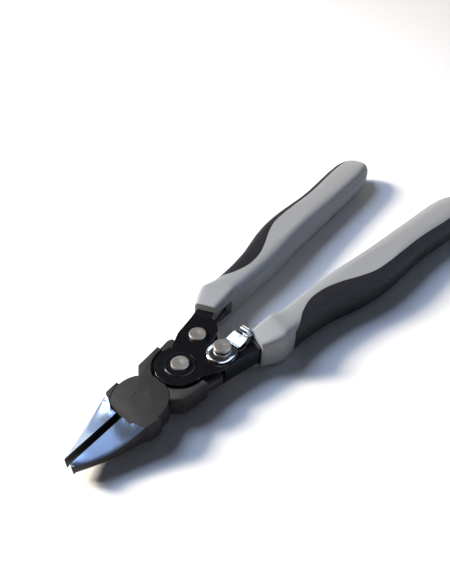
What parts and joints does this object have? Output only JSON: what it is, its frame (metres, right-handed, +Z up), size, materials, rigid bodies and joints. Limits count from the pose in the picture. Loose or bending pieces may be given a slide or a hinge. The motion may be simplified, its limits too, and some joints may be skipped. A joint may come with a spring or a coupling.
{
  "type": "compound-action diagonal cutters",
  "caption": "Compound-leverage diagonal cutting pliers with bevelled jaws, pressed channel handles, a lock latch and two-tone soft grips.",
  "frame": {"origin": "centre of the bounding box on the surface the tool lies on", "axes": "+Y from the nose towards the grip ends, along the tool; +Z up from the surface; +X towards the right handle, which carries the lock latch"},
  "size_m": [0.0816, 0.241, 0.0166],
  "materials": {
    "forged_steel": "dark oxide, satin",
    "black_sheet": "gloss black",
    "rivet_nickel": "satin nickel",
    "chrome": "polished",
    "spring_steel": "bright",
    "grip_grey": "matte, hard",
    "grip_black": "matte, soft",
    "filler_grey": "matte"
  },
  "bodies": {
    "right_handle": {"right_handle_channel": "black_sheet", "right_grip_body": "grip_grey", "right_grip_insert": "grip_black", "right_channel_filler": "filler_grey", "handle_pivot_rivet": "rivet_nickel", "handle_pivot_spacer": "spring_steel", "return_spring": "spring_steel", "right_tang_rivet": "rivet_nickel", "right_tang_washer_top": "spring_steel", "right_tang_washer_bottom": "spring_steel", "latch_spring_washer": "spring_steel"},
    "left_handle": {"left_handle_channel": "black_sheet", "left_grip_body": "grip_grey", "left_grip_insert": "grip_black", "left_channel_filler": "filler_grey", "left_tang_rivet": "rivet_nickel"},
    "left_blade": {"cutting_blade_left": "forged_steel"},
    "right_blade": {"cutting_blade_right": "forged_steel", "jaw_pivot_pin": "forged_steel"},
    "latch": {"lock_latch": "chrome"}
  },
  "joints": [
    {"name": "handle_pivot", "type": "hinge", "parent": "right_handle", "child": "left_handle", "pos_m": [0, -0.0703, 0.0083], "axis": [0, 0, 1], "range_deg": [-10.8, 15], "stiffness_Nm_per_rad": 0.3},
    {"name": "left_blade_pivot", "type": "hinge", "parent": "right_handle", "child": "left_blade", "pos_m": [0.0065, -0.0541, 0.0083], "axis": [0, 0, 1], "range_deg": [-3, 4.2]},
    {"name": "right_blade_pivot", "type": "hinge", "parent": "left_handle", "child": "right_blade", "pos_m": [-0.0065, -0.0541, 0.0083], "axis": [0, 0, 1], "range_deg": [-4.2, 3]},
    {"name": "latch_pivot", "type": "hinge", "parent": "right_handle", "child": "latch", "pos_m": [0.0065, -0.0541, 0.0083], "axis": [0, 0, 1], "range_deg": [0, 75]}
  ],
  "couplings": [
    {"joint": "left_blade_pivot", "follows": "handle_pivot", "ratio": 0.272},
    {"joint": "right_blade_pivot", "follows": "handle_pivot", "ratio": -0.272}
  ]
}
